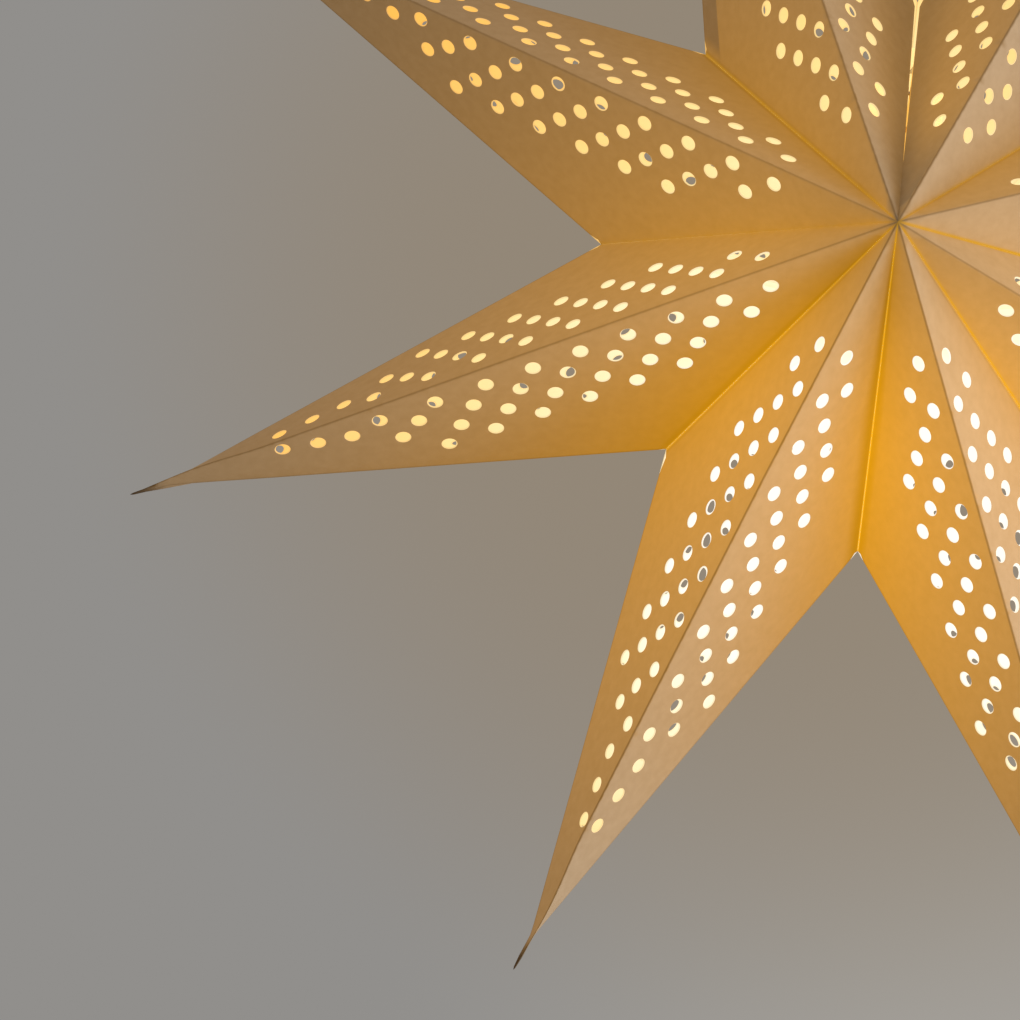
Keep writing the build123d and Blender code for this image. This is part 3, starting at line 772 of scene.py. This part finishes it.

# %% [markdown]
# ## The card's finish
#
# Three finishes share the sheet: the outside, the inside and the thin cut edge, which the rims of the
# holes share. The outside is one shader whose own colour is a beige fibrous card and whose emission is
# the light that comes through, because real translucency takes many more samples and is lost in an
# export. Ridges and outer edges carry painted shade: the card's colour is darker there and its glow
# dimmer. A bright line of painted light marks each valley, and beside a deep valley the card is darker
# in a gold band of painted shade, where the panels shade each other.

# %% Card fibres
card_pale, card_dark, card_fibre = (0.275, 0.238, 0.187), (0.258, 0.222, 0.173), (0.292, 0.254, 0.20)
cloud_scale, cloud_detail = 260.0, 5.0
fibre_scale, fibre_detail, fibre_distortion, fibre_tint = 1600.0, 3.0, 1.5, 0.12
fibre_roughness, fibre_bump, fibre_height = 0.08, 0.25, 0.0002


def card_grain(tree, shader, roughness):
    """Fibres and cloudy formation of uncoated card: colour, roughness and bump from noise at two scales.
    Returns the colour and the clouds."""
    where = add_node(tree, "ShaderNodeTexCoord").outputs["Object"]
    cloud = noise(tree, where, cloud_scale, cloud_detail)
    fibre = noise(tree, where, fibre_scale, fibre_detail, fibre_distortion)
    tone = ramp(tree, cloud, (0.3, card_dark), (0.5, card_pale), (0.7, card_fibre))
    tone = tint(tree, product(tree, fibre, fibre_tint), tone, card_dark)
    rough = map_range(tree, fibre, (0.0, 1.0), (roughness - fibre_roughness, roughness + fibre_roughness))
    relief = {"Strength": fibre_bump, "Distance": fibre_height, "Height": fibre}
    bump = add_node(tree, "ShaderNodeBump", relief).outputs[0]
    set_inputs(tree, shader, {"Roughness": rough, "Normal": bump})
    return tone, cloud


# %% Valleys and lap of the card's outside
deep_range = (0.5, 1.0)
valley_reach, deep_valley_gain = 1.6, -0.8
band_reach, deep_band_gain, band_share, band_depth = 1.4, 7.6, 0.22, 0.95
line_cover = 3.0
apex_lift_reach, apex_lift_strength = 18.0, 0.25
lap_width, lap_blur, lap_end = 9.5, 0.4, 8.0


def near_fold(tree, distance, reach):
    """1 on a fold, falling to 0 at its reach, in millimetres."""
    return map_range(tree, distance, (0.0, reach), (1.0, 0.0), "SMOOTHERSTEP")


def valley_marks(tree, folds):
    """How dark a panel is beside its valley, how bright the line in the valley is, and how much the glow
    is lifted between ridge and valley near the apex. The darkness is the largest of a wide shade, which
    grows with the square of the share of the way from ridge to valley, a narrower band, and the card
    under the line."""
    depth = attribute(tree, "depth")
    deepest = map_range(tree, depth, deep_range)
    panel_width = math(tree, "ADD", folds["X"], folds["Y"])
    share = math(tree, "DIVIDE", folds["X"], panel_width)
    wide = product(tree, math(tree, "POWER", share, 2.0), deepest, attribute(tree, "spread"))
    reach = math(tree, "MULTIPLY_ADD", deepest, deep_band_gain, band_reach)
    reach = math(tree, "MINIMUM", reach, product(tree, panel_width, band_share))
    narrow = product(tree, near_fold(tree, folds["Y"], reach), product(tree, depth, band_depth))
    line_reach = math(tree, "MULTIPLY_ADD", deepest, deep_valley_gain, valley_reach)
    line = product(tree, near_fold(tree, folds["Y"], line_reach), attribute(tree, "line"))
    dark = math(tree, "MAXIMUM", math(tree, "MAXIMUM", wide, narrow), product(tree, line, line_cover))
    apex_lift = product(tree, share, near_fold(tree, panel_width, apex_lift_reach), apex_lift_strength)
    return dark, line, apex_lift


def lap_band(tree, folds):
    """The strip along an edge with a second layer of card behind, which ends softly before the valley."""
    band = map_range(tree, folds["Z"], (lap_width - lap_blur, lap_width), (1.0, 0.0))
    past_valley = math(tree, "SUBTRACT", 1.0, near_fold(tree, folds["Y"], lap_end))
    return product(tree, band, attribute(tree, "lap"), past_valley)


# %% Card outside
through_colour, valley_light_colour = (1.0, 0.42, 0.003), (1.0, 0.54, 0.03)
crease_shade_colour, tip_dark_colour = (0.12, 0.085, 0.055), (0.07, 0.038, 0.014)
deep_colour = (0.03, 0.012, 0.001)
ridge_reach, ridge_shade, ridge_painted_shade = 1.15, 0.40, 0.8
edge_reach, edge_shade, edge_painted_shade = 1.0, 0.25, 0.4
lap_shade, tip_darkening = 0.45, 0.85
mottling = (0.98, 1.02)


def scaled(tree, colour, strength):
    """A colour times a strength."""
    return add_node(tree, "ShaderNodeVectorMath", {0: colour, 3: strength}, operation="SCALE").outputs[0]


def card_outside():
    """Beige card that glows with the mesh's own glow, dark with painted shade along ridge, edge and lap,
    bright with painted light in the valley, and darker towards the tip.
    """
    material, tree, shader = new_material("card_outside")
    tone, cloud = card_grain(tree, shader, roughness=0.86)
    folds = add_node(tree, "ShaderNodeSeparateXYZ", {0: attribute(tree, "folds", "Vector")}).outputs
    ridge = product(tree, near_fold(tree, folds["X"], ridge_reach), attribute(tree, "crease"))
    edge = near_fold(tree, folds["Z"], edge_reach)
    dark, line, apex_lift = valley_marks(tree, folds)

    shut = math(tree, "MAXIMUM", product(tree, ridge, ridge_shade), product(tree, edge, edge_shade))
    shut = math(tree, "MAXIMUM", shut, product(tree, lap_band(tree, folds), lap_shade))
    mottle = map_range(tree, cloud, noise_middle, mottling)
    shine = product(tree, attribute(tree, "glow"), mottle, math(tree, "SUBTRACT", 1.0, shut))
    shine = product(tree, shine, math(tree, "ADD", 1.0, apex_lift))
    # Painted light: a bright line along each valley, added to the glow.
    lights = {0: scaled(tree, through_colour, shine), 1: scaled(tree, valley_light_colour, line)}
    light = add_node(tree, "ShaderNodeVectorMath", lights, operation="ADD").outputs[0]

    # Painted shade: the card's colour darkens along the ridges and outer edges.
    painted_crease_shade = math(tree, "MAXIMUM", product(tree, ridge, ridge_painted_shade), product(tree, edge, edge_painted_shade))
    tone = tint(tree, painted_crease_shade, tone, crease_shade_colour)
    # Darker in colour towards the pinched tip; the same factor dims the tip's glow.
    tone = tint(tree, product(tree, attribute(tree, "darker_tip"), tip_darkening), tone, tip_dark_colour)
    tone = tint(tree, dark, tone, deep_colour)
    set_inputs(tree, shader, {"Base Color": tone, "Emission Color": light})
    set_inputs(tree, shader, {"Emission Strength": 1.0, "Specular IOR Level": 0.25})
    material.cycles.emission_sampling = "NONE"
    return material


# %% Card inside and cut edge
inside_lights = (
    (0.0, (0.50, 0.17, 0.01)), (0.1, (0.90, 0.47, 0.085)), (0.3, (0.95, 0.67, 0.26)),
    (0.6, (0.97, 0.82, 0.53)), (1.0, (1.0, 0.96, 0.88)),
)


def card_inside(name, lift):
    """The lit side: emission from deep orange far from the bulb to near white beside it."""
    material, tree, shader = new_material(name)
    tone = card_grain(tree, shader, roughness=0.88)[0]
    light = ramp(tree, product(tree, attribute(tree, "light"), lift), *inside_lights)
    set_inputs(tree, shader, {"Base Color": tone, "Emission Color": light})
    set_inputs(tree, shader, {"Emission Strength": 0.9, "Specular IOR Level": 0.2})
    material.cycles.emission_sampling = "NONE"
    return material


card_materials = [
    card_outside(), card_inside("card_inside", lift=1.0), card_inside("card_cut_edge", lift=0.8)
]
print("card finishes:", [material.name for material in card_materials])

# %% [markdown]
# ## Making the eight points
#
# Each point becomes one mesh: welded panels and four flanges, with its values stored at the points. A
# Solidify modifier gives the card its thickness inwards, and puts the inside and the cut edges in their
# own finishes. It is thinner at the pinched tip, where there is no room.

# %% Weld the panels and add the flanges
weld_grid = 1e-5
far_from_folds = 1.0


def weld(place, faces, values):
    """Joins points that lie within a hundredth of a millimetre, and keeps the first one's values."""
    keys = np.round(place / weld_grid).astype(np.int64)
    first, where = np.unique(keys, axis=0, return_index=True, return_inverse=True)[1:]
    faces = where.reshape(-1)[faces]
    whole = (faces[:, 0] != faces[:, 1]) & (faces[:, 1] != faces[:, 2]) & (faces[:, 2] != faces[:, 0])
    return place[first], faces[whole], {name: value[first] for name, value in values.items()}


def add_flanges(number, place, faces, values):
    """Adds a point's four flanges, far from every fold and with no other values, and marks the seam's."""
    seam_strip = np.zeros(len(place), dtype=bool)
    for side, face in panel_kinds:
        strip, strip_faces = fold_flange(number, side, face)
        faces = np.vstack([faces, strip_faces + len(place)])
        place = np.vstack([place, strip])
        seam_strip = np.append(seam_strip, np.full(len(strip), is_seam(number, side)))
    spare = len(place) - len(values["folds"])
    values = {
        name: np.concatenate([value, np.zeros((spare, *value.shape[1:]))])
        for name, value in values.items()
    }
    values["folds"][-spare:] = far_from_folds
    return place, faces, values, seam_strip


# %% Values that the finishes read
# How strong the painted shade on the ridge of each point is, from point 1 on.
ridge_shades = (0.85, 0.7, 0.65, 1.0, 1.0, 0.65, 0.5, 0.68)
edge_dimming, edge_dimming_reach, seam_dimming = 0.45, 0.008, 0.2
line_start, line_growth = 0.8, 0.6
tip_dark_start, tip_dark_end = 0.016, 0.004
millimetres = 1000


def finish_values(number, place, values, seam_strip):
    """The values that the card's finishes read. The glow is the through-light less what the flap, the
    window's wash and the darker tip take; the light inside is dimmer near the outer edge and on the seam's
    flanges; valley lines grow brighter outwards. Distances to folds are in millimetres."""
    through, inside = lamp_light(place)
    through *= (1 - values["flap"]) * (1 - values["wash"])
    inside *= 1 - edge_dimming * np.exp(-values["folds"][:, 2] / edge_dimming_reach)
    inside[seam_strip] *= seam_dimming
    reach = from_axis(place)
    darker_tip = smooth_step(reach, tip_radius - tip_dark_start, tip_radius - tip_dark_end)
    return {
        "folds": values["folds"] * millimetres,
        "glow": through * (1 - tip_darkening * darker_tip),
        "light": inside,
        "lap": values["lap"],
        "depth": values["depth"],
        "spread": values["spread"],
        "line": values["line"] * (line_start + line_growth * reach / notch_radius),
        "darker_tip": darker_tip,
        "crease": np.full(len(place), ridge_shades[number - 1]),
    }


def store(mesh, name, values):
    """Puts a number or a vector at each point of a mesh."""
    kind, field = ("FLOAT_VECTOR", "vector") if values.ndim > 1 else ("FLOAT", "value")
    column = np.ascontiguousarray(values, dtype=np.float32).ravel()
    mesh.attributes.new(name, kind, "POINT").data.foreach_set(field, column)


# %% Build the points
outside_slot, inside_slot, edge_slot = range(3)
sharp_angle = radians(40)
thinning_length, thinnest = 0.03, 0.05
normal_weight = 100


def card_mesh(number):
    """One point of the star as a mesh with its finishes and values."""
    place, faces, values = weld(*fold_point(number))
    panel_faces = len(faces)
    place, faces, values, seam_strip = add_flanges(number, place, faces, values)
    mesh = bpy.data.meshes.new(f"star_point_{number}")
    mesh.from_pydata(place.tolist(), [], faces.tolist())
    for material in card_materials:
        mesh.materials.append(material)
    slots = np.where(values["rim"][faces].max(axis=1) > 0, edge_slot, outside_slot).astype(np.int32)
    slots[panel_faces:] = inside_slot
    mesh.polygons.foreach_set("material_index", slots)
    for name, column in finish_values(number, place, values, seam_strip).items():
        store(mesh, name, column)
    mesh.shade_smooth()
    mesh.set_sharp_from_angle(angle=sharp_angle)
    return mesh, place


def make_point(number):
    """One point of the star as an object, with the card's thickness inwards and even normals."""
    mesh, place = card_mesh(number)
    point = add_object(f"star_point_{number}", mesh)
    room = point.vertex_groups.new(name="room")
    weights = (tip_radius - stalk_length - from_axis(place)) / thinning_length
    weights = np.clip(weights, thinnest, 1).round(2)
    for weight in np.unique(weights):
        room.add(np.flatnonzero(weights == weight).tolist(), float(weight), "REPLACE")
    sheet = point.modifiers.new("card thickness", "SOLIDIFY")
    sheet.thickness = card_thickness
    sheet.offset = -1
    sheet.use_even_offset = True
    sheet.vertex_group = room.name
    sheet.material_offset = inside_slot
    sheet.material_offset_rim = edge_slot
    point.modifiers.new("panel normals", "WEIGHTED_NORMAL").weight = normal_weight
    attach(point, "star")
    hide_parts(f"point_{number}")
    return point


star_points = [make_point(number) for number in range(1, point_count + 1)]
print("points made:", len(star_points), "triangles each:", len(star_points[0].data.polygons))

# %% [markdown]
# ## Lamp finishes
#
# The lampholder, the bulb and the small hardware keep their solids and get finishes. One function builds
# them all from a few words: colour, a second tone, roughness, the size of the grain and how deep it is.
# The globe and the chips shine, and the mouldings round them glow a little, because the lamp lights them
# from inside.

# %% One function for the lamp's finishes
grains_per_cloud = 6
roughness_swing = 0.2
grain_bump = 0.3
tone_stops = (0.35, 0.7)


def plain_finish(name, tones, roughness, grain, depth=0.00003, metallic=0.0, stretch=(1, 1, 1), glow=None):
    """A finish with two tones clouded into each other, roughness that varies with a finer grain, and its
    bump. A glow is a strength and two colours."""
    material, tree, shader = new_material(name)
    where = add_node(tree, "ShaderNodeTexCoord").outputs["Object"]
    where = add_node(tree, "ShaderNodeMapping", {"Vector": where, "Scale": stretch}).outputs[0]
    cloud = noise(tree, where, grain / grains_per_cloud, detail=3.0)
    fine = noise(tree, where, grain, detail=4.0)
    swing = (roughness * (1 - roughness_swing), roughness * (1 + roughness_swing))
    relief = {"Strength": grain_bump, "Distance": depth, "Height": fine}
    set_inputs(tree, shader, {
        "Base Color": ramp(tree, cloud, *zip(tone_stops, tones)),
        "Roughness": map_range(tree, fine, noise_middle, swing),
        "Normal": add_node(tree, "ShaderNodeBump", relief).outputs[0],
        "Metallic": metallic,
    })
    if glow:
        strength, *colours = glow
        light = ramp(tree, cloud, *zip(noise_middle, colours))
        set_inputs(tree, shader, {"Emission Color": light, "Emission Strength": strength})
    return material


# %% Metal finishes
brass = plain_finish(
    "pressed_brass", ((0.72, 0.50, 0.20), (0.60, 0.38, 0.13)),
    roughness=0.26, grain=900, depth=0.00004, metallic=1.0,
)
steel = plain_finish(
    "drawn_steel", ((0.55, 0.55, 0.56), (0.42, 0.42, 0.43)),
    roughness=0.30, grain=2000, metallic=1.0, stretch=(1, 0.2, 1),
)
nickel = plain_finish(
    "nickel_plate", ((0.66, 0.64, 0.60), (0.56, 0.54, 0.50)),
    roughness=0.22, grain=1500, metallic=1.0, stretch=(1, 1, 0.3),
)

# %% Plastic, ceramic and board finishes
moulding = plain_finish(
    "white_moulding", ((0.80, 0.79, 0.75), (0.74, 0.73, 0.68)),
    roughness=0.42, grain=2600,
    glow=(0.55, (1.0, 0.60, 0.18), (1.0, 0.56, 0.15)),
)
ceramic = plain_finish(
    "contact_ceramic", ((0.76, 0.73, 0.66), (0.67, 0.64, 0.56)),
    roughness=0.65, grain=1400, depth=0.00005,
)
opal = plain_finish(
    "opal_globe", ((0.90, 0.86, 0.76), (0.86, 0.81, 0.70)),
    roughness=0.30, grain=700, depth=0.00002,
    glow=(3.0, (1.0, 0.86, 0.62), (1.0, 0.82, 0.55)),
)
bulb_plastic = plain_finish(
    "bulb_plastic", ((0.84, 0.83, 0.80), (0.79, 0.78, 0.74)),
    roughness=0.35, grain=2200,
    glow=(0.4, (1.0, 0.66, 0.26), (1.0, 0.62, 0.22)),
)
insulator = plain_finish(
    "black_insulator", ((0.02, 0.02, 0.024), (0.035, 0.033, 0.036)),
    roughness=0.18, grain=1200,
)
board_metal = plain_finish(
    "solder_resist", ((0.80, 0.80, 0.78), (0.74, 0.74, 0.72)),
    roughness=0.38, grain=1800,
)
phosphor = plain_finish(
    "led_phosphor", ((0.86, 0.62, 0.12), (0.80, 0.55, 0.08)),
    roughness=0.35, grain=1500,
    glow=(4.0, (1.0, 0.80, 0.42), (1.0, 0.74, 0.34)),
)
laminate = plain_finish(
    "board_laminate", ((0.05, 0.20, 0.09), (0.035, 0.15, 0.07)),
    roughness=0.4, grain=1100, depth=0.00004,
)
print("materials in the scene:", len(bpy.data.materials))

# %% Dress the lamp
finishes = {
    brass: [
        "paper_fasteners", "flange_eyelets", "centre_contact", "side_contact", "terminal_blocks",
        "bulb_tip_contact",
    ],
    steel: ["hanger_wire", "cord_grip_screw", "terminal_screws"],
    moulding: ["lampholder_cap", "lampholder_skirt"],
    ceramic: ["holder_insert"],
    nickel: ["thread_shell", "bulb_screw_cap"],
    opal: ["bulb_globe"],
    bulb_plastic: ["bulb_collar"],
    insulator: ["bulb_insulator"],
    board_metal: ["led_board"],
    phosphor: ["led_chips"],
    laminate: ["driver_board"],
}
for finish, nodes in finishes.items():
    for node in nodes:
        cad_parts[node].material_slots[0].material = finish
print("finishes:", len(finishes), "on", sum(len(nodes) for nodes in finishes.values()), "nodes")
